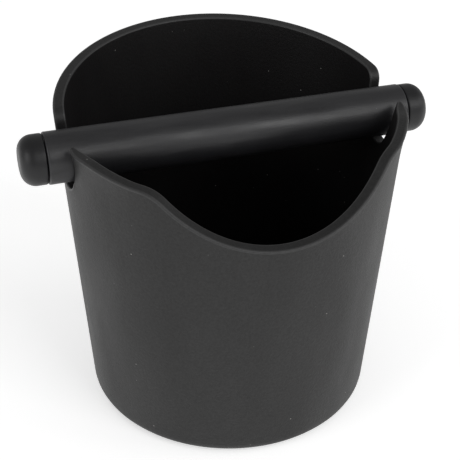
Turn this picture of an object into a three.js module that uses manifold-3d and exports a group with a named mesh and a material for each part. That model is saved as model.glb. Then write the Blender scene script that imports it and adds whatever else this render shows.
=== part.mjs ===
// Espresso knock box: a tapered round bucket with a high back and a scooped front. A rubber-covered bar
// lies across it in two open slots, for knocking the spent coffee out of a filter basket.
// Millimetres, +Z up, front at -Y. The origin is on the bucket's axis, on the surface that it stands on.
import * as THREE from "three";
import { mergeVertices } from "three/addons/utils/BufferGeometryUtils.js";
import Module from "manifold-3d";

// The bucket's wall is a straight cone, and everything on it is placed by the cone's radius.
const baseRadius = 62.7; // the outside of the cone at the height of the origin
const wallSlope = 0.068; // how much the radius grows with each millimetre of height
const wallThickness = 4.6;
const floorThickness = 4;
const outerFillet = 5; // between the underside and the wall
const innerFillet = 7; // between the floor and the wall
const underside = 0.6; // the rubber pad lifts the bucket off its surface by this much

// The rim lies in a plane that rises towards the back. Its front stands a little above that plane, and
// the scoop dips below it. Angles round the bucket are degrees from the middle of the front, towards +X.
const rimHeight = 136.1; // on the bucket's axis
const rimRise = 0.155; // per millimetre towards the back
const frontRaise = 1.45; // of the front rim above the plane
const raiseEnd = { from: 64, to: 75 }; // where the front rim comes down to the plane
const scoopDepth = 20.4; // below the front rim
const scoopRadius = 80; // of the scoop's bottom, measured round the wall
const scoopTurn = 0.7; // of the scoop's middle towards +X
const shoulderRadius = 16; // where the scoop's side turns into the rim

// The horns, which are the front wall next to the slots, lean out beyond the cone.
const hornFlare = 2.1; // at the rim's mean height
const flareBottom = 114;
const flareStart = { from: 40, to: 50 }; // where the wall turns from the plain cone into a horn
const slotAngle = 85; // inside the slot, where the horns have ended
const levelWall = 100; // up to here the wall's rows are level, and above it they follow the rim
const wallRows = [0, 0.3, 0.5, 0.65, 0.8, 0.9, 1]; // as shares of the way from there to the rim

// The bar lies across the bucket, a little in front of its axis and as loosely as it was put down.
const barHeight = 123.9;
const barOffset = { x: -1.3, y: -3.7 };
const sleeveRadius = 10.6;
const sleeveLength = 153.4;
const tubeRadius = 8;
const tubeWall = 1.2;
const capRadius = 10.3;
const capLength = 10;
const capRounding = 6;
const stemLength = 14;

// Each slot narrows downwards, so that its sides hold the bar's rubber clear of its bottom.
const slotHalfWidth = 11; // at the height of the bar's axis
const slotTaper = THREE.MathUtils.degToRad(2.3);
const slotBottom = 110.3;
const hornCorner = 3; // the rounding at the top of the slot's front edge
const backCorner = 6; // the rounding at the top of the slot's rear edge

const padRadius = 48;
const padThickness = 2.2;
const padChamfer = 0.4;
const sleeveEdge = 0.8; // the rounding of the sleeve's ends
const capEdge = 0.6; // the rounding of a cap where it meets the sleeve
const stemChamfer = 1;

const gap = 0.3; // kept between touching pieces
const clear = 20; // how far a cutting body runs past what it cuts
const roundSteps = 180; // facets round the bucket
const barSteps = 48; // facets round the bar's pieces
const filletSteps = 5;
const slotSteps = 20; // facets of the slot's bottom
const edgeSteps = 3;
const domeSteps = 8;
const rimRounds = 6; // to settle a rim point's height, which depends on its radius

const wasm = await Module();
wasm.setup();

function material(color, roughness, metalness = 0) {
  return new THREE.MeshStandardMaterial({ color, roughness, metalness });
}

const plastic = material("#3f3f40", 0.55);
const rubber = material("#343436", 0.6);
const capPlastic = material("#38383a", 0.5);
const steel = material("#9a9da1", 0.35, 1);
const padRubber = material("#1b1b1c", 0.9);

// A closed geometry as a solid that can be cut.
function solid(geometry) {
  const bare = geometry.clone();
  bare.deleteAttribute("normal");
  bare.deleteAttribute("uv");
  const merged = mergeVertices(bare, 1e-4);
  return new wasm.Manifold(
    new wasm.Mesh({
      numProp: 3,
      vertProperties: merged.attributes.position.array,
      triVerts: new Uint32Array(merged.index.array),
    }),
  );
}

function geometryOf(body) {
  const { vertProperties, triVerts } = body.getMesh();
  const geometry = new THREE.BufferGeometry();
  geometry.setAttribute("position", new THREE.BufferAttribute(vertProperties, 3));
  geometry.setIndex(new THREE.BufferAttribute(triVerts, 1));
  geometry.computeVertexNormals();
  return geometry;
}

// A turned body whose axis is +Z, from a profile of [radius, height] that runs up on its outside.
function turned(profile, steps) {
  const points = profile.map(([radius, height]) => new THREE.Vector2(radius, height));
  return new THREE.LatheGeometry(points, steps).rotateX(Math.PI / 2);
}

// Points of an arc round [x, y], from one angle to another in radians.
function arc(x, y, radius, from, to, steps = filletSteps) {
  return Array.from({ length: steps + 1 }, (_, i) => {
    const angle = from + ((to - from) * i) / steps;
    return [x + radius * Math.cos(angle), y + radius * Math.sin(angle)];
  });
}

// The wall's surface at a depth inside its outer face, where both are measured square to the wall.
const wallLean = Math.atan(wallSlope);

function coneRadius(depth) {
  return baseRadius - depth / Math.cos(wallLean);
}

function wallRadius(height, depth) {
  return coneRadius(depth) + wallSlope * height;
}

// The wall's radius at an angle, with the horns' lean.
function leaningRadius(angle, height, depth) {
  const turn = Math.abs(angle);
  const growth = Math.max(0, (height - flareBottom) / (rimHeight - flareBottom));
  const share = turn < slotAngle ? THREE.MathUtils.smoothstep(turn, flareStart.from, flareStart.to) : 0;
  return wallRadius(height, depth) + hornFlare * share * growth ** 3;
}

// How far the scoop lies below the front rim, at a distance round the wall from its middle.
// Its bottom is one arc, and a small arc the other way turns it into the rim.
function scoopDip(distance) {
  const centreHeight = scoopRadius - scoopDepth;
  const bothRadii = scoopRadius + shoulderRadius;
  const shoulderEnd = Math.sqrt(bothRadii ** 2 - (centreHeight + shoulderRadius) ** 2);
  if (distance < (shoulderEnd * scoopRadius) / bothRadii) {
    return Math.sqrt(scoopRadius ** 2 - distance ** 2) - centreHeight;
  }
  if (distance < shoulderEnd) {
    return shoulderRadius - Math.sqrt(shoulderRadius ** 2 - (shoulderEnd - distance) ** 2);
  }
  return 0;
}

// The rim's height at an angle, on the wall's surface at a depth.
function rimAt(angle, depth) {
  const { degToRad, smoothstep } = THREE.MathUtils;
  const distance = degToRad(Math.abs(angle - scoopTurn)) * wallRadius(rimHeight, 0);
  const raise = frontRaise * (1 - smoothstep(Math.abs(angle), raiseEnd.from, raiseEnd.to));
  const rise = rimRise * Math.cos(degToRad(angle));
  let height = rimHeight;
  for (let i = 0; i < rimRounds; i++) {
    height = rimHeight + raise - scoopDip(distance) - rise * leaningRadius(angle, height, depth);
  }
  return height;
}

// The bucket as a turned body whose upper rows are moved along the wall to follow the rim.
function bucketShell() {
  const wallRow = (share) => levelWall + share * (rimHeight - levelWall);
  const padHole = padRadius + gap;
  const holeTop = padThickness + gap;
  const floor = underside + floorThickness;
  const outerArcAngle = Math.PI / 2 - wallLean;
  const outerArcTan = outerFillet * Math.tan(outerArcAngle / 2);
  const outerCentre = [wallRadius(underside, 0) - outerArcTan, underside + outerFillet];
  const innerArcTan = innerFillet * Math.tan(outerArcAngle / 2);
  const innerCentre = [wallRadius(floor, wallThickness) - innerArcTan, floor + innerFillet];
  const geometry = turned(
    [
      [0, holeTop],
      [padHole, holeTop],
      [padHole, underside],
      ...arc(...outerCentre, outerFillet, -Math.PI / 2, -wallLean),
      ...wallRows.map((share) => [wallRadius(wallRow(share), 0), wallRow(share)]),
      ...wallRows.map((share) => [wallRadius(wallRow(share), wallThickness), wallRow(share)]).reverse(),
      ...arc(...innerCentre, innerFillet, -wallLean, -Math.PI / 2),
      [0, floor],
    ],
    roundSteps,
  );
  const { position } = geometry.attributes;
  const vertex = new THREE.Vector3();
  for (let i = 0; i < position.count; i++) {
    vertex.fromBufferAttribute(position, i);
    const share = (vertex.z - levelWall) / (rimHeight - levelWall);
    if (share <= 0) continue;
    const middle = wallRadius(vertex.z, wallThickness / 2);
    const depth = Math.hypot(vertex.x, vertex.y) > middle ? 0 : wallThickness;
    const radians = Math.atan2(vertex.x, -vertex.y);
    const angle = THREE.MathUtils.radToDeg(radians);
    const height = levelWall + share * (rimAt(angle, depth) - levelWall);
    const radius = leaningRadius(angle, height, depth);
    position.setXYZ(i, radius * Math.sin(radians), -radius * Math.cos(radians), height);
  }
  return geometry;
}

// Both slots as one body across the bucket, with an outline of [y, z] seen from its right-hand side.
// The slot's arc touches both tapered sides, and its top corners are rounded into the rim's plane.
function slotCutter() {
  const depthBelowBar = barHeight - slotBottom;
  const arcRadius =
    (slotHalfWidth * Math.cos(slotTaper) - depthBelowBar * Math.sin(slotTaper)) /
    (1 - Math.sin(slotTaper));
  const arcHeight = slotBottom + arcRadius;
  const rimLean = Math.atan(rimRise);
  // A corner's arc touches the slot's side and the rim's plane. toBack is 1 at the rear and -1 in front.
  const corner = (toBack, radius) => {
    const sideY = barOffset.y + toBack * (slotHalfWidth - barHeight * Math.tan(slotTaper));
    const sideLean = toBack * Math.tan(slotTaper);
    const sideShift = (toBack * radius) / Math.cos(slotTaper);
    const rimDrop = radius / Math.cos(rimLean);
    const centreZ =
      (rimHeight - rimDrop + rimRise * (sideY + sideShift)) / (1 - rimRise * sideLean);
    const centreY = sideY + sideShift + sideLean * centreZ;
    const rimAngle = Math.PI / 2 + rimLean;
    const sideAngle = toBack > 0 ? Math.PI - slotTaper : slotTaper;
    return arc(centreY, centreZ, radius, rimAngle, sideAngle);
  };
  const bottom = arc(barOffset.y, arcHeight, arcRadius, Math.PI + slotTaper, 2 * Math.PI - slotTaper, slotSteps);
  const front = corner(-1, hornCorner);
  const rear = corner(1, backCorner).reverse();
  const top = rimHeight + 2 * clear;
  const outline = [
    [front[0][0], top],
    ...front,
    ...bottom,
    ...rear,
    [rear.at(-1)[0], top],
  ];
  const shape = new THREE.Shape(outline.map(([y, z]) => new THREE.Vector2(y, z)));
  const across = 2 * (wallRadius(rimHeight, 0) + clear);
  const geometry = new THREE.ExtrudeGeometry(shape, { depth: across, bevelEnabled: false });
  // The outline's x and y become the bucket's Y and Z, and the extrusion runs along X.
  geometry.translate(0, 0, -across / 2);
  geometry.applyMatrix4(new THREE.Matrix4().set(0, 0, 1, 0, 1, 0, 0, 0, 0, 1, 0, 0, 0, 0, 0, 1));
  return geometry;
}

function bucket() {
  return geometryOf(solid(bucketShell()).subtract(solid(slotCutter())));
}

function basePad() {
  return turned(
    [
      [0, 0],
      [padRadius - padChamfer, 0],
      [padRadius, padChamfer],
      [padRadius, padThickness],
      [0, padThickness],
    ],
    roundSteps / 2,
  );
}

// The bar's pieces are turned about +Z, centred on the origin, and laid along X when they are placed.
function barSleeve() {
  const half = sleeveLength / 2;
  const bore = tubeRadius + gap / 2;
  const edgeCentre = sleeveRadius - sleeveEdge;
  return turned(
    [
      [bore, -half],
      ...arc(edgeCentre, sleeveEdge - half, sleeveEdge, -Math.PI / 2, 0, edgeSteps),
      ...arc(edgeCentre, half - sleeveEdge, sleeveEdge, 0, Math.PI / 2, edgeSteps),
      [bore, half],
      [bore, -half],
    ],
    barSteps,
  );
}

function barTube() {
  const half = sleeveLength / 2 - gap;
  const bore = tubeRadius - tubeWall;
  return turned(
    [
      [bore, -half],
      [tubeRadius, -half],
      [tubeRadius, half],
      [bore, half],
      [bore, -half],
    ],
    barSteps,
  );
}

// A domed cap with a stem that plugs into the tube: the stem points down, and z = 0 is the sleeve's end.
function endCap() {
  const stemRadius = tubeRadius - tubeWall - gap;
  const domeHeight = gap + capLength - capRounding;
  return turned(
    [
      [0, -stemLength],
      [stemRadius - stemChamfer, -stemLength],
      [stemRadius, stemChamfer - stemLength],
      [stemRadius, gap],
      ...arc(capRadius - capEdge, gap + capEdge, capEdge, -Math.PI / 2, 0, edgeSteps),
      ...arc(capRadius - capRounding, domeHeight, capRounding, 0, Math.PI / 2, domeSteps),
      [0, gap + capLength],
    ],
    barSteps,
  );
}

function named(name, geometry, look) {
  const mesh = new THREE.Mesh(geometry, look);
  mesh.name = name;
  return mesh;
}

const bar = new THREE.Group();
bar.position.set(barOffset.x, barOffset.y, barHeight);
bar.rotation.y = Math.PI / 2; // the pieces' +Z becomes +X
bar.add(named("bar_sleeve", barSleeve(), rubber));
bar.add(named("bar_tube", barTube(), steel));
const rightCap = named("right_end_cap", endCap(), capPlastic);
rightCap.position.z = sleeveLength / 2;
bar.add(rightCap);
const leftCap = named("left_end_cap", endCap(), capPlastic);
leftCap.position.z = -sleeveLength / 2;
leftCap.rotation.x = Math.PI;
bar.add(leftCap);

const knockBox = new THREE.Group();
knockBox.add(named("bucket", bucket(), plastic));
knockBox.add(named("base_pad", basePad(), padRubber));
knockBox.add(bar);

export default knockBox;
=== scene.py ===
"""An espresso knock box as it looks: a satin charcoal plastic bucket with a scooped front, and a
rubber-covered bar across it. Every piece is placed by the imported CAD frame. Metres, +Z up, front at -Y."""

import math

import bpy
import numpy as np
from mathutils import Matrix, Vector


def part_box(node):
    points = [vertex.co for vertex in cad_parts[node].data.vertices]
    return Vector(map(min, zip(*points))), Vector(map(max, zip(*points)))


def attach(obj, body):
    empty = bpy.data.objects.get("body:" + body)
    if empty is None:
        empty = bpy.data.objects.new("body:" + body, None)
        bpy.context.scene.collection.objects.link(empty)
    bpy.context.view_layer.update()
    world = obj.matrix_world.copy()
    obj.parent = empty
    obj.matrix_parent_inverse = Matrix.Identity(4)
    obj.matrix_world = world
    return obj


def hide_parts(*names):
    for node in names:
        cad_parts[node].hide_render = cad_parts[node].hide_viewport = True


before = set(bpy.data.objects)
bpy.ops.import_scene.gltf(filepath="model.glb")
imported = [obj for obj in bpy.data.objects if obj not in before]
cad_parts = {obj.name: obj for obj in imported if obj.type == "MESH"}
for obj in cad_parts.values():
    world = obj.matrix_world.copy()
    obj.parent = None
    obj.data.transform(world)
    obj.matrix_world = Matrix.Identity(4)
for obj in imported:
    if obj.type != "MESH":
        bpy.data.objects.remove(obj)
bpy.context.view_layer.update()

# The bucket, as its CAD node has it: a straight cone whose rim lies in a plane that rises to the back.
WALL_SLOPE = 0.068  # outwards for each unit up
WALL = 0.0046
RIM_RISE = 0.155  # upwards for each unit back
FRONT_RAISE = 0.00145  # of the front rim above that plane
RAISE_END = (math.radians(64), math.radians(75))  # where it comes down to the plane
SCOOP_DEPTH = 0.0204  # below the front rim
SCOOP_RADIUS = 0.080
SCOOP_TURN = math.radians(0.7)  # of the scoop's middle towards +X
SHOULDER_RADIUS = 0.016
HORN_FLARE = 0.0021  # of the front wall next to the slots, at the height of the rim's plane on the axis
FLARE_BOTTOM = 0.114
FLARE_START = (math.radians(40), math.radians(50))  # where it grows, round from the middle of the front
NOSE = 0.0016  # how far each side of a horn draws in towards its end at the slot
NOSE_LENGTH = 0.009
NOSE_HEIGHT = (0.114, 0.126)  # where it grows, going up
SLOT_ANGLE = math.radians(85)  # inside the slot, where the horns have ended
SLOT_HALF_WIDTH = 0.011
SLOT_TAPER = math.radians(2.3)
SLOT_DEPTH = 0.0136  # from the bar's axis to the slot's bottom
FRONT_CORNER = (0.0020, 0.0010)  # the slot's rounded corners at the rim, on the outer and the inner face
REAR_CORNER = (0.006, 0.006)
FLOOR = 0.004
OUTER_FILLET = 0.005
INNER_FILLET = 0.007
OUTER_EDGE = 0.0008  # the rounding of the rim's outer edge
INNER_EDGE = 0.0005
GAP = 0.0003  # kept between touching pieces

# The bucket's mesh
FRONT_STEPS = 120  # columns from the middle of the front to the slot
BACK_STEPS = 60
SLOT_SIDE_STEPS = 12
SLOT_BOTTOM_STEPS = 28
CORNER_STEPS = 12
ROUNDING_STEPS = 6
OUTER_ROWS = 46
INNER_ROWS = 40
DISC_SHARES = (0.1, 0.4, 0.7, 0.97)  # of a flat disc's radius, for the rings that fill it
JOINING_ANGLE = 0.15  # radians, over which the rim's inner points slide round to the slot's inner corner
HOLD = 0.0003  # between a rounding and the next row
FACE_HOLD = 0.25  # the most that the row next to an edge takes of the rim's width
RELAXING_ROUNDS = 700
RIM_ROUNDS = 6  # to settle a rim point's height, which depends on its radius

# The bar and the pad
TUBE_WALL = 0.0012
TUBE_CHAMFER = 0.00015
SLEEVE_EDGE = 0.0008
CAP_EDGE = 0.0006
CAP_ROUNDING = 0.006
PAD_EDGE = 0.0004
BAR_STEPS = 128  # columns round the bar's pieces
SLEEVE_STEPS = 60  # rings along it
TUBE_STEPS = 30
BORE_STEPS = 20
STEM_STEPS = 8
CAP_STEPS = 4
EDGE_STEPS = 5  # round the edges of the sleeve and the caps
DOME_STEPS = 20
PAD_STEPS = 180  # columns round the pad
PAD_EDGE_STEPS = 4

# The camera stands in front of the bucket, a little to its left, and looks down.
CAMERA_DISTANCE = 0.39846  # level, from the bucket's axis
CAMERA_HEIGHT = 0.32259
CAMERA_AZIMUTH = math.radians(-18.4286)
CAMERA_YAW = math.radians(-0.0557)
CAMERA_PITCH = math.radians(31.974)
CAMERA_ROLL = math.radians(0.5073)
LENS = 83.31  # millimetres, on a 36 mm wide sensor

NOISE_RANGE = (0.3, 0.7)  # where most of a noise's values lie
FLOOR_SIZE = 40  # so wide that its edge is far off in a level view
LIGHT_TARGET = Vector((0, 0, 0.08))

bucket_low, bucket_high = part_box("bucket")
pad_low, pad_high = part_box("base_pad")
sleeve_low, sleeve_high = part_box("bar_sleeve")
tube_low, tube_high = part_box("bar_tube")
bar_axis = (sleeve_low + sleeve_high) / 2

BASE_RADIUS = bucket_high.y - WALL_SLOPE * bucket_high.z
RIM_HEIGHT = bucket_high.z - RIM_RISE * bucket_high.y
WALL_LEAN = math.atan(WALL_SLOPE)


def smooth(value, start, end):
    """0 before the start and 1 after the end, with a smooth rise between them."""
    share = np.clip((value - start) / (end - start), 0, 1)
    return share * share * (3 - 2 * share)


def cone_radius(height, depth):
    """The plain cone's radius at a height, at a depth inside its outer face."""
    return BASE_RADIUS - depth / math.cos(WALL_LEAN) + WALL_SLOPE * height


def wall_radius(angle, height, depth):
    """The wall's radius at an angle from the middle of the front.
    The horns lean out beyond the cone, and their two sides draw in towards the slot."""
    turn = np.abs((angle + math.pi) % (2 * math.pi) - math.pi)
    plain = cone_radius(height, depth)
    growth = np.clip((height - FLARE_BOTTOM) / (RIM_HEIGHT - FLARE_BOTTOM), 0, None)
    flare = HORN_FLARE * smooth(turn, *FLARE_START) * growth**3
    slot_side = bar_axis.y - SLOT_HALF_WIDTH - (height - bar_axis.z) * math.tan(SLOT_TAPER)
    near = 1 - np.clip((slot_side + plain * np.cos(turn)) / NOSE_LENGTH, 0, 1)
    nose = NOSE * near**2 * smooth(height, *NOSE_HEIGHT)
    return plain + (flare + (nose if depth else -nose)) * (turn < SLOT_ANGLE)


def scoop_dip(distance):
    """How far the scoop lies below the front rim, at a distance round the wall from its middle.
    Its bottom is one arc, and a small arc the other way turns it into the rim."""
    centre_height = SCOOP_RADIUS - SCOOP_DEPTH
    both = SCOOP_RADIUS + SHOULDER_RADIUS
    shoulder_end = math.sqrt(both**2 - (centre_height + SHOULDER_RADIUS) ** 2)
    if distance < shoulder_end * SCOOP_RADIUS / both:
        return math.sqrt(SCOOP_RADIUS**2 - distance**2) - centre_height
    if distance < shoulder_end:
        return SHOULDER_RADIUS - math.sqrt(SHOULDER_RADIUS**2 - (shoulder_end - distance) ** 2)
    return 0


def on_wall(angle, height, depth):
    """A point of the wall, at an angle from the middle of the front towards +X."""
    radius = wall_radius(angle, height, depth)
    return np.array([radius * math.sin(angle), -radius * math.cos(angle), height])


def rim_point(angle, depth):
    """A point of the rim, at an angle from the middle of the front and a depth inside the outer face."""
    dip = scoop_dip(abs(angle - SCOOP_TURN) * cone_radius(RIM_HEIGHT, 0))
    dip -= FRONT_RAISE * (1 - smooth(abs(angle), *RAISE_END))
    height = RIM_HEIGHT
    for _ in range(RIM_ROUNDS):
        height = RIM_HEIGHT - dip - RIM_RISE * math.cos(angle) * wall_radius(angle, height, depth)
    return on_wall(angle, height, depth)


def across(y, z, depth):
    """The point of the wall's right half at y and z."""
    angle = math.acos(-y / cone_radius(z, depth))
    return np.array([math.sqrt(wall_radius(angle, z, depth) ** 2 - y**2), y, z])


def angle_of(point):
    """A point's angle from the middle of the front towards +X."""
    return math.atan2(point[0], -point[1])


def arc(y, z, radius, start, end, steps):
    """Points of an arc about y and z, or about any other pair of coordinates that an outline is drawn in."""
    angles = np.linspace(start, end, steps + 1)
    return [(y + radius * math.cos(a), z + radius * math.sin(a)) for a in angles]


def stretch(start, end, steps):
    """Points along a straight stretch of an outline, without its ends."""
    return [tuple(p) for p in np.linspace(start, end, steps + 1)[1:-1]]


def slot_corner(side, radius):
    """The rounded corner between the rim and a side of the slot: -1 is its front side and 1 its rear side."""
    rim_lean = math.atan(RIM_RISE)
    side_y = bar_axis.y + side * (SLOT_HALF_WIDTH - bar_axis.z * math.tan(SLOT_TAPER))
    shift = side * radius / math.cos(SLOT_TAPER)
    lean = side * math.tan(SLOT_TAPER)
    z = (RIM_HEIGHT - radius / math.cos(rim_lean) + RIM_RISE * (side_y + shift)) / (1 - RIM_RISE * lean)
    side_angle = math.pi - SLOT_TAPER if side > 0 else SLOT_TAPER
    return arc(side_y + shift + lean * z, z, radius, math.pi / 2 + rim_lean, side_angle, CORNER_STEPS)


def slot_outline(front_corner, rear_corner):
    """The slot's outline in y and z: down from the rim in front of it, round its bottom and up to the rim."""
    taper = math.sin(SLOT_TAPER)
    radius = (SLOT_HALF_WIDTH * math.cos(SLOT_TAPER) - SLOT_DEPTH * taper) / (1 - taper)
    middle = bar_axis.z - SLOT_DEPTH + radius
    start, end = math.pi + SLOT_TAPER, 2 * math.pi - SLOT_TAPER
    bottom = arc(bar_axis.y, middle, radius, start, end, SLOT_BOTTOM_STEPS)
    front = slot_corner(-1, front_corner)
    rear = slot_corner(1, rear_corner)[::-1]
    front_side = stretch(front[-1], bottom[0], SLOT_SIDE_STEPS)
    rear_side = stretch(bottom[-1], rear[0], SLOT_SIDE_STEPS)
    return front + front_side + bottom + rear_side + rear


def half_rim(side):
    """The rim's sharp outer and inner edges from the middle of the front to the middle of the back.
    Side is 1 on the right, which is +X, and -1 on the left."""
    slot_outer, slot_inner = (
        [across(y, z, depth) * (side, 1, 1) for y, z in slot_outline(front_corner, rear_corner)]
        for depth, front_corner, rear_corner in zip((0, WALL), FRONT_CORNER, REAR_CORNER)
    )

    # A rim point's partner lies at the same angle, except near the slot, whose sides run along X.
    def rim(start, end, steps, joint):
        joint_angle = angle_of(slot_outer[joint])
        turn = angle_of(slot_inner[joint]) - joint_angle
        outer, inner = [], []
        for angle in np.linspace(start, end, steps + 1):
            near = 1 - smooth(abs(angle - joint_angle), 0, JOINING_ANGLE)
            outer.append(rim_point(angle, 0))
            inner.append(rim_point(angle + turn * near, WALL))
        return outer, inner

    front_outer, front_inner = rim(0, angle_of(slot_outer[0]), FRONT_STEPS, 0)
    back_outer, back_inner = rim(angle_of(slot_outer[-1]), side * math.pi, BACK_STEPS, -1)
    return (
        np.array(front_outer[:-1] + slot_outer + back_outer[1:]),
        np.array(front_inner[:-1] + slot_inner + back_inner[1:]),
    )


def rim_edges():
    """The rim's sharp outer and inner edges as matching points of two closed loops, round from the front."""
    return [np.concatenate([right, left[-2:0:-1]]) for right, left in zip(half_rim(1), half_rim(-1))]


def unit(vectors):
    """Each row's direction, with a length of 1."""
    return vectors / np.linalg.norm(vectors, axis=1, keepdims=True)


def pressed_to_wall(points, depth):
    """Points close to the wall's surface, moved level onto it."""
    angle = np.arctan2(points[:, 0], -points[:, 1])
    radius = wall_radius(angle, points[:, 2], depth) / np.hypot(points[:, 0], points[:, 1])
    return points * np.stack([radius, radius, np.ones(len(points))], axis=1)


def rounded_edge(corner, start_way, end_way, radius):
    """Rows of a rounding along a sharp edge, from the surface on one side of it to the other.
    Each column is a conic arc, and a quarter of a circle where the surfaces are square to each other."""
    start = corner + start_way * radius
    end = corner + end_way * radius
    rows = []
    for share in np.linspace(0, 1, ROUNDING_STEPS + 1):
        weights = ((1 - share) ** 2, math.sqrt(2) * share * (1 - share), share**2)
        total = weights[0] * start + weights[1] * corner + weights[2] * end
        rows.append(total / sum(weights))
    return rows


def relaxed_wall(top, bottom_height, depth, rows):
    """Rows of a grid on the wall, from a level ring at its bottom to the loop at its top.
    Its lines are spread by the elliptic equations of a smooth grid, solved on the unrolled wall."""
    count = len(top)
    period = 2 * math.pi * BASE_RADIUS
    top_angles = np.unwrap(np.arctan2(top[:, 0], -top[:, 1]))
    upper = top_angles * BASE_RADIUS + 1j * top[:, 2]
    lower = np.arange(count) / count * period + 1j * bottom_height
    share = np.linspace(0, 1, rows + 1)[:, None]
    grid = lower * (1 - share) + upper * share
    for _ in range(RELAXING_ROUNDS):
        before = np.roll(grid, 1, axis=1)
        before[:, 0] -= period
        after = np.roll(grid, -1, axis=1)
        after[:, -1] += period
        along = (after - before)[1:-1] / 2
        up = (grid[2:] - grid[:-2]) / 2
        twist = (after[2:] - before[2:] - after[:-2] + before[:-2]) / 4
        up_square = abs(up) ** 2
        along_square = abs(along) ** 2
        skew = (along * up.conj()).real
        sideways = up_square * (after + before)[1:-1]
        upright = along_square * (grid[2:] + grid[:-2])
        grid[1:-1] = (sideways + upright - 2 * skew * twist) / (2 * (up_square + along_square))
    angles = grid.real / BASE_RADIUS
    radii = wall_radius(angles, grid.imag, depth)
    return list(np.stack([radii * np.sin(angles), -radii * np.cos(angles), grid.imag], axis=2))


def mesh_object(name, vertices, faces, material, **values):
    """A smooth-shaded object. Each further value is a number for every vertex, for its material to read."""
    mesh = bpy.data.meshes.new(name)
    mesh.from_pydata(vertices, [], faces)
    mesh.polygons.foreach_set("use_smooth", [True] * len(mesh.polygons))
    for attribute, numbers in values.items():
        mesh.attributes.new(attribute, "FLOAT", "POINT").data.foreach_set("value", numbers)
    mesh.materials.append(material)
    mesh.update()
    piece = bpy.data.objects.new(name, mesh)
    bpy.context.scene.collection.objects.link(piece)
    return piece


def skin(rows, wrap):
    """Vertices and faces over rows of points that each close on themselves.
    The rows' ends join each other if wrap is true, and otherwise close in a point each."""
    count = len(rows[0])
    vertices = [tuple(p) for row in rows for p in row]
    faces = []
    pairs = list(zip(range(len(rows)), range(1, len(rows))))
    if wrap:
        pairs.append((len(rows) - 1, 0))
    for lower, upper in pairs:
        for i in range(count):
            j = (i + 1) % count
            faces.append((lower * count + i, lower * count + j, upper * count + j, upper * count + i))
    if not wrap:
        first, last = len(vertices), len(vertices) + 1
        vertices += [tuple(np.mean(rows[0], axis=0)), tuple(np.mean(rows[-1], axis=0))]
        top = (len(rows) - 1) * count
        for i in range(count):
            j = (i + 1) % count
            faces.append((first, j, i))
            faces.append((last, top + i, top + j))
    return vertices, faces


def level_rings(profile, count):
    """A ring of points round the bucket's axis for each radius and height."""
    angles = np.arange(count) / count * 2 * math.pi
    return [
        np.stack([radius * np.sin(angles), -radius * np.cos(angles), np.full(count, height)], axis=1)
        for radius, height in profile
    ]


def disc(radius, height):
    """The rings of a flat disc as [radius, height], from its middle outwards."""
    return [(radius * share, height) for share in DISC_SHARES]


def fillet(radius, height, depth):
    """The rounding between the wall and what is level below it, as [radius, height] going up."""
    centre = cone_radius(height, depth) - radius * math.tan((math.pi / 2 - WALL_LEAN) / 2)
    return arc(centre, height + radius, radius, -math.pi / 2, -WALL_LEAN, ROUNDING_STEPS)


def bucket_rows():
    """The bucket's skin as rows from the middle of its underside, up the outside, over the rim, to its floor,
    and how far each of its vertices belongs to the rim's edges and to the inside."""
    outer, inner = rim_edges()
    count = len(outer)
    out_angle = np.arctan2(outer[:, 0], -outer[:, 1])
    in_angle = np.arctan2(inner[:, 0], -inner[:, 1])

    def wall_normal(angles):
        lean_out, lean_down = math.cos(WALL_LEAN), -math.sin(WALL_LEAN)
        return np.stack(
            [lean_out * np.sin(angles), -lean_out * np.cos(angles), np.full(count, lean_down)], axis=1
        )

    def tangent(loop):
        return unit(np.roll(loop, -1, axis=0) - np.roll(loop, 1, axis=0))

    along = tangent(outer)
    out_down = unit(np.cross(along, wall_normal(out_angle)))
    in_down = unit(np.cross(tangent(inner), wall_normal(in_angle)))
    inward = inner - outer
    inward = unit(inward - along * np.sum(inward * along, axis=1, keepdims=True))

    outer_edge = rounded_edge(outer, out_down, inward, OUTER_EDGE)
    outer_edge[0] = pressed_to_wall(outer_edge[0], 0)
    inner_edge = rounded_edge(inner, -inward, in_down, INNER_EDGE)
    inner_edge[-1] = pressed_to_wall(inner_edge[-1], WALL)
    outer_hold = pressed_to_wall(outer + out_down * (OUTER_EDGE + HOLD), 0)
    inner_hold = pressed_to_wall(inner + in_down * (INNER_EDGE + HOLD), WALL)
    face_width = np.linalg.norm(inner_edge[0] - outer_edge[-1], axis=1, keepdims=True)
    held = np.minimum(HOLD / face_width, FACE_HOLD)
    face = [outer_edge[-1] * (1 - share) + inner_edge[0] * share for share in (held, 0.5, 1 - held)]

    underside = bucket_low.z
    floor = underside + FLOOR
    outer_fillet = fillet(OUTER_FILLET, underside, 0)
    inner_fillet = fillet(INNER_FILLET, floor, WALL)
    recess = pad_high.x + GAP
    recess_top = pad_high.z + GAP
    bottom = disc(recess, recess_top)
    bottom += [(recess, recess_top), (recess, recess_top - GAP), (recess, underside + GAP)]
    bottom += [(recess + GAP, underside), ((recess + outer_fillet[0][0]) / 2, underside)]
    bottom += outer_fillet[:-1]
    outer_wall = relaxed_wall(outer_hold, outer_fillet[-1][1], 0, OUTER_ROWS)
    inner_wall = relaxed_wall(inner_hold, inner_fillet[-1][1], WALL, INNER_ROWS)
    inner_floor = inner_fillet[-2::-1] + disc(inner_fillet[0][0], floor)[::-1]

    # Each part's rows, then 1 if it is one of the rim's edges, which get a painted highlight, and 1 if it is
    # on the inside, which gets painted shade.
    parts = [
        (level_rings(bottom, count), 0, 0),
        (outer_wall, 0, 0),
        (outer_edge, 1, 0),
        (face, 0, 0),
        (inner_edge, 1, 0),
        (inner_wall[::-1], 0, 1),
        (level_rings(inner_floor, count), 0, 1),
    ]
    rows = [row for part, _, _ in parts for row in part]
    edge = [value for part, value, _ in parts for row in part for _ in range(count)]
    inside = [value for part, _, value in parts for row in part for _ in range(count)]
    return rows, edge + [0, 0], inside + [0, 1]


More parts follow.
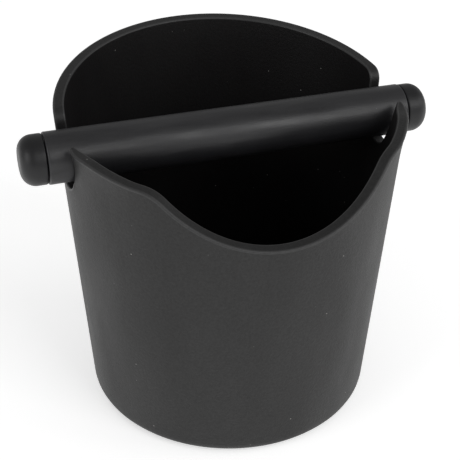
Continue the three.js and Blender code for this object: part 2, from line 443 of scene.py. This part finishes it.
def lathe(name, profile, material, wrap):
    """A turned piece round the bar's axis, from [x, radius] points that run along its outside towards +X."""
    angles = np.arange(BAR_STEPS) / BAR_STEPS * 2 * math.pi
    rows = []
    for x, radius in profile:
        y = bar_axis.y - radius * np.sin(angles)
        z = bar_axis.z + radius * np.cos(angles)
        rows.append(np.stack([np.full(BAR_STEPS, x), y, z], axis=1))
    vertices, faces = skin(rows, wrap)
    return mesh_object(name, vertices, [face[::-1] for face in faces], material)


def make_sleeve(material):
    """The thick rubber tube over the bar, with rounded ends."""
    low, high = sleeve_low.x, sleeve_high.x
    radius = sleeve_high.z - bar_axis.z
    bore = tube_high.z - bar_axis.z + GAP / 2
    edge_middle = radius - SLEEVE_EDGE
    left = arc(low + SLEEVE_EDGE, edge_middle, SLEEVE_EDGE, math.pi, math.pi / 2, EDGE_STEPS)
    right = arc(high - SLEEVE_EDGE, edge_middle, SLEEVE_EDGE, math.pi / 2, 0, EDGE_STEPS)
    left.append((left[-1][0] + HOLD, radius))
    right.insert(0, (right[0][0] - HOLD, radius))
    profile = left + stretch(left[-1], right[0], SLEEVE_STEPS) + right
    profile += [(high, bore)] + stretch((high, bore), (low, bore), BORE_STEPS) + [(low, bore)]
    return lathe("sleeve", profile, material, wrap=True)


def make_tube(material):
    """The steel tube inside the sleeve, with its ends' edges broken."""
    low, high = tube_low.x, tube_high.x
    radius = tube_high.z - bar_axis.z
    bore = radius - TUBE_WALL
    cut = TUBE_CHAMFER
    profile = [(low, bore + cut), (low, radius - cut), (low + cut, radius)]
    profile += stretch((low, radius), (high, radius), TUBE_STEPS)
    profile += [(high - cut, radius), (high, radius - cut), (high, bore + cut), (high - cut, bore)]
    profile += stretch((high, bore), (low, bore), TUBE_STEPS) + [(low + cut, bore)]
    return lathe("tube", profile, material, wrap=True)


def make_cap(name, node, side, material):
    """A domed cap with its stem inside the tube. Side is 1 at the bar's right end and -1 at its left."""
    low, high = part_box(node)
    radius = high.z - bar_axis.z
    stem = tube_high.z - bar_axis.z - TUBE_WALL - GAP
    near = (sleeve_high.x if side > 0 else -sleeve_low.x) + GAP
    far = max(abs(low.x), abs(high.x))
    tip = min(abs(low.x), abs(high.x))
    flat = radius - CAP_ROUNDING
    seam = arc(near + CAP_EDGE, radius - CAP_EDGE, CAP_EDGE, math.pi, math.pi / 2, EDGE_STEPS)
    dome = arc(far - CAP_ROUNDING, flat, CAP_ROUNDING, math.pi / 2, 0, DOME_STEPS)
    profile = [(tip, stem / 3), (tip, stem - CAP_EDGE), (tip + CAP_EDGE, stem)]
    profile += stretch((tip + CAP_EDGE, stem), (near, stem), STEM_STEPS) + [(near, stem)]
    profile += seam + stretch(seam[-1], dome[0], CAP_STEPS) + dome
    profile += stretch((far, flat), (far, 0), CAP_STEPS)
    if side < 0:
        profile = [(-x, r) for x, r in profile][::-1]
    return lathe(name, profile, material, wrap=False)


def make_pad(material):
    """The flat rubber foot in the bucket's underside."""
    radius, top, bottom = pad_high.x, pad_high.z, pad_low.z
    edge = PAD_EDGE
    profile = disc(radius, bottom)
    profile += arc(radius - edge, bottom + edge, edge, -math.pi / 2, 0, PAD_EDGE_STEPS)
    profile += arc(radius - edge, top - edge, edge, 0, math.pi / 2, PAD_EDGE_STEPS)
    profile += disc(radius, top)[::-1]
    vertices, faces = skin(level_rings(profile, PAD_STEPS), wrap=False)
    return mesh_object("pad", vertices, faces, material)


def feed(tree, socket, value):
    """Links a socket to another socket, or sets it. A colour is given as three numbers."""
    if isinstance(value, bpy.types.NodeSocket):
        tree.links.new(value, socket)
    elif socket.type == "RGBA":
        socket.default_value = (*value, 1)
    else:
        socket.default_value = value


def add(tree, kind, settings=None, **inputs):
    """Adds a shader node with its settings and inputs, where an input's _ stands for a space."""
    node = tree.nodes.new("ShaderNode" + kind)
    for name, value in (settings or {}).items():
        setattr(node, name, value)
    for name, value in inputs.items():
        feed(tree, node.inputs[name.replace("_", " ")], value)
    return node


def noise(tree, where, scale, detail, roughness):
    return add(tree, "TexNoise", Vector=where, Scale=scale, Detail=detail, Roughness=roughness).outputs["Fac"]


def remap(tree, value, from_low, from_high, to_low, to_high):
    """Carries one range of a value to another, and stays inside it."""
    ends = {"From_Min": from_low, "From_Max": from_high, "To_Min": to_low, "To_Max": to_high}
    return add(tree, "MapRange", Value=value, **ends).outputs["Result"]


def spread(tree, value, low, high):
    """Carries the range that a noise mostly keeps to, to the range from low to high."""
    return remap(tree, value, *NOISE_RANGE, low, high)


def calculate(tree, operation, first, second):
    node = add(tree, "Math", {"operation": operation})
    feed(tree, node.inputs[0], first)
    feed(tree, node.inputs[1], second)
    return node.outputs[0]


def blend(tree, share, first, second):
    """Mixes two colours by a share, each a socket or three numbers."""
    node = add(tree, "Mix", {"data_type": "RGBA"})
    share_input, first_input, second_input = (node.inputs[i] for i in (0, 6, 7))
    feed(tree, share_input, share)
    feed(tree, first_input, first)
    feed(tree, second_input, second)
    return node.outputs[2]


def start_material(name):
    """A new material, its node tree, its shader, and the place on the object, in metres, for its textures."""
    material = bpy.data.materials.new(name)
    material.use_nodes = True
    tree = material.node_tree
    return material, tree, tree.nodes["Principled BSDF"], add(tree, "TexCoord").outputs["Object"]


def bump(tree, height, distance, under=None):
    """A normal for relief of that depth, on top of another relief's normal if one is given."""
    node = add(tree, "Bump", Height=height, Distance=distance)
    if under is not None:
        tree.links.new(under, node.inputs["Normal"])
    return node.outputs["Normal"]


def dust(tree, where, cell, radius, share):
    """Sparse round specks: 1 in the middle of a share of the cells of that size, and 0 elsewhere."""
    cells = add(tree, "TexVoronoi", Vector=where, Scale=1 / cell)
    pick = add(tree, "SeparateColor", Color=cells.outputs["Color"])
    chosen = calculate(tree, "LESS_THAN", pick.outputs[0], share)
    near = remap(tree, cells.outputs["Distance"], radius / cell, 0.4 * radius / cell, 0, 1)
    return calculate(tree, "MULTIPLY", near, chosen)


def bucket_plastic():
    """Charcoal plastic with a fine moulded grain, faint cloudy flow marks, smoother rim edges painted paler
    as a painted highlight, and a little dust. The inside has painted shade: a plain dark colour and half the
    gloss."""
    material, tree, shader, where = start_material("bucket_plastic")
    tall = add(tree, "Mapping", Vector=where, Scale=(1, 1, 0.35)).outputs[0]
    cloud = noise(tree, tall, 32, 5, 0.6)
    grain = noise(tree, where, 900, 3, 0.7)
    pits = noise(tree, where, 2600, 2, 0.6)
    edge = add(tree, "Attribute", {"attribute_name": "edge"}).outputs["Fac"]
    inside = add(tree, "Attribute", {"attribute_name": "inside"}).outputs["Fac"]
    specks = dust(tree, where, 0.006, 0.0003, 0.35)

    clouds = spread(tree, cloud, 0, 1)
    colour = blend(tree, clouds, (0.0050, 0.0049, 0.0049), (0.0075, 0.0073, 0.0073))
    colour = blend(tree, remap(tree, grain, 0.35, 0.65, 0, 0.4), colour, (0.012, 0.0118, 0.0118))
    # Painted highlight: the rim's edge rows are painted paler, like the light line that a highlight draws
    # along them.
    colour = blend(tree, calculate(tree, "MULTIPLY", edge, 0.4), colour, (0.06, 0.06, 0.0605))
    # Painted shade: the inside gets one plain dark colour, without the grain, clouds or paler edges of the
    # outside.
    colour = blend(tree, inside, colour, (0.0064, 0.0058, 0.0060))
    colour = blend(tree, calculate(tree, "MULTIPLY", specks, 0.8), colour, (0.40, 0.39, 0.37))
    tree.links.new(colour, shader.inputs["Base Color"])

    rough = spread(tree, cloud, 0.45, 0.60)
    rough = calculate(tree, "SUBTRACT", rough, calculate(tree, "MULTIPLY", edge, 0.08))
    tree.links.new(rough, shader.inputs["Roughness"])
    normal = bump(tree, pits, 0.00004)
    tree.links.new(bump(tree, grain, 0.00013, under=normal), shader.inputs["Normal"])
    gloss = remap(tree, grain, 0.35, 0.65, 0.38, 0.455)
    # Painted shade: the inside reflects half as much as the outside, so that it looks nearly black.
    gloss = calculate(tree, "MULTIPLY", gloss, remap(tree, inside, 0, 1, 1, 0.50))
    tree.links.new(gloss, shader.inputs["Specular IOR Level"])
    return material


def bar_rubber():
    """Smooth black rubber with a faint ripple along it, a dusty bloom and a few specks."""
    material, tree, shader, where = start_material("bar_rubber")
    long = add(tree, "Mapping", Vector=where, Scale=(0.15, 1, 1)).outputs[0]
    ripple = noise(tree, long, 240, 3, 0.5)
    bloom = noise(tree, where, 55, 5, 0.6)
    grain = noise(tree, where, 1500, 3, 0.6)
    specks = dust(tree, where, 0.005, 0.00025, 0.18)

    colour = blend(tree, spread(tree, bloom, 0, 1), (0.0090, 0.0089, 0.0100), (0.0130, 0.0128, 0.0145))
    colour = blend(tree, remap(tree, grain, 0.4, 0.65, 0, 0.35), colour, (0.020, 0.020, 0.022))
    colour = blend(tree, calculate(tree, "MULTIPLY", specks, 0.5), colour, (0.3, 0.3, 0.29))
    tree.links.new(colour, shader.inputs["Base Color"])
    tree.links.new(spread(tree, bloom, 0.36, 0.47), shader.inputs["Roughness"])
    tree.links.new(spread(tree, ripple, 0.40, 0.66), shader.inputs["Specular IOR Level"])
    normal = bump(tree, ripple, 0.00012)
    tree.links.new(bump(tree, grain, 0.00006, under=normal), shader.inputs["Normal"])
    return material


def cap_plastic():
    """Black plastic, smoother than the bucket's, with a fine grain."""
    material, tree, shader, where = start_material("cap_plastic")
    cloud = noise(tree, where, 90, 4, 0.6)
    grain = noise(tree, where, 1800, 3, 0.6)
    specks = dust(tree, where, 0.004, 0.0002, 0.15)

    colour = blend(tree, spread(tree, cloud, 0, 1), (0.0045, 0.0045, 0.0052), (0.0070, 0.0070, 0.0080))
    colour = blend(tree, remap(tree, grain, 0.4, 0.65, 0, 0.3), colour, (0.012, 0.012, 0.013))
    colour = blend(tree, calculate(tree, "MULTIPLY", specks, 0.5), colour, (0.3, 0.3, 0.29))
    tree.links.new(colour, shader.inputs["Base Color"])
    tree.links.new(spread(tree, cloud, 0.38, 0.47), shader.inputs["Roughness"])
    tree.links.new(bump(tree, grain, 0.00006), shader.inputs["Normal"])
    shader.inputs["Specular IOR Level"].default_value = 0.38
    return material


def tube_steel():
    """Drawn steel tube: fine lines along it, and slight differences in gloss."""
    material, tree, shader, where = start_material("tube_steel")
    long = add(tree, "Mapping", Vector=where, Scale=(0.02, 1, 1)).outputs[0]
    lines = noise(tree, long, 3000, 3, 0.6)
    stain = noise(tree, where, 70, 4, 0.6)
    colour = blend(tree, spread(tree, stain, 0, 1), (0.50, 0.51, 0.53), (0.60, 0.61, 0.62))
    tree.links.new(colour, shader.inputs["Base Color"])
    tree.links.new(spread(tree, lines, 0.25, 0.42), shader.inputs["Roughness"])
    tree.links.new(bump(tree, lines, 0.00001), shader.inputs["Normal"])
    shader.inputs["Metallic"].default_value = 1
    return material


def pad_rubber():
    """Matt black rubber foot with a pebbled surface."""
    material, tree, shader, where = start_material("pad_rubber")
    cells = add(tree, "TexVoronoi", {"feature": "SMOOTH_F1"}, Vector=where, Scale=1400)
    cloud = noise(tree, where, 60, 4, 0.6)
    colour = blend(tree, spread(tree, cloud, 0, 1), (0.011, 0.011, 0.011), (0.018, 0.018, 0.018))
    tree.links.new(colour, shader.inputs["Base Color"])
    tree.links.new(spread(tree, cloud, 0.75, 0.9), shader.inputs["Roughness"])
    tree.links.new(bump(tree, cells.outputs["Distance"], 0.0001), shader.inputs["Normal"])
    return material


def finished(piece, node, body):
    """Puts a piece in its CAD node's place."""
    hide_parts(node)
    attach(piece, body)


def make_bucket(material):
    rows, edge, inside = bucket_rows()
    vertices, faces = skin(rows, wrap=False)
    return mesh_object("bucket_body", vertices, faces, material, edge=edge, inside=inside)


def make_floor():
    """A large white floor with a faintly uneven matt surface, which glows a little to stay white."""
    material, tree, shader, where = start_material("floor")
    shade = noise(tree, where, 1.5, 3, 0.5)
    colour = blend(tree, spread(tree, shade, 0, 1), (0.91, 0.91, 0.91), (0.94, 0.94, 0.94))
    tree.links.new(colour, shader.inputs["Base Color"])
    shader.inputs["Roughness"].default_value = 0.8
    shader.inputs["Emission Color"].default_value = (1, 1, 1, 1)
    shader.inputs["Emission Strength"].default_value = 0.50
    half = FLOOR_SIZE / 2
    corners = [(-half, -half, 0), (half, -half, 0), (half, half, 0), (-half, half, 0)]
    floor = mesh_object("floor", corners, [(0, 1, 2, 3)], material)


def area_light(name, place, size, power):
    """A white rectangular light of that width, height and power in watts, aimed at the object."""
    light = bpy.data.lights.new(name, "AREA")
    light.shape = "RECTANGLE"
    light.size, light.size_y = size
    light.energy = power
    lamp = bpy.data.objects.new(name, light)
    lamp.location = place
    lamp.rotation_euler = (LIGHT_TARGET - Vector(place)).to_track_quat("-Z", "Y").to_euler()
    bpy.context.scene.collection.objects.link(lamp)


def make_lights():
    """A soft light from the front right and one from each side, in an evenly lit studio."""
    area_light("front", place=(0.7, -1.4, 1.2), size=(1.0, 0.9), power=9)
    area_light("left", place=(-1.6, -0.5, 0.8), size=(0.9, 0.8), power=7)
    area_light("right", place=(1.6, -0.6, 0.8), size=(0.9, 0.8), power=5)
    world = bpy.data.worlds.new("studio")
    world.use_nodes = True
    background = world.node_tree.nodes["Background"]
    background.inputs["Color"].default_value = (1, 1, 1, 1)
    background.inputs["Strength"].default_value = 0.40
    bpy.context.scene.world = world
    bpy.context.scene.view_settings.view_transform = "Standard"


def make_camera():
    data = bpy.data.cameras.new("camera")
    data.lens = LENS
    camera = bpy.data.objects.new("camera", data)
    x = CAMERA_DISTANCE * math.sin(CAMERA_AZIMUTH)
    y = -CAMERA_DISTANCE * math.cos(CAMERA_AZIMUTH)
    camera.matrix_world = (
        Matrix.Translation((x, y, CAMERA_HEIGHT))
        @ Matrix.Rotation(CAMERA_AZIMUTH + CAMERA_YAW, 4, "Z")
        @ Matrix.Rotation(math.pi / 2 - CAMERA_PITCH, 4, "X")
        @ Matrix.Rotation(CAMERA_ROLL, 4, "Z")
    )
    bpy.context.scene.collection.objects.link(camera)
    bpy.context.scene.camera = camera


make_camera()
make_lights()
make_floor()
cap_material = cap_plastic()
finished(make_bucket(bucket_plastic()), "bucket", "bucket")
finished(make_pad(pad_rubber()), "base_pad", "bucket")
finished(make_tube(tube_steel()), "bar_tube", "bar")
finished(make_sleeve(bar_rubber()), "bar_sleeve", "bar_cover")
finished(make_cap("left_cap", "left_end_cap", -1, cap_material), "left_end_cap", "bar_cover")
finished(make_cap("right_cap", "right_end_cap", 1, cap_material), "right_end_cap", "bar_cover")

bpy.context.view_layer.update()
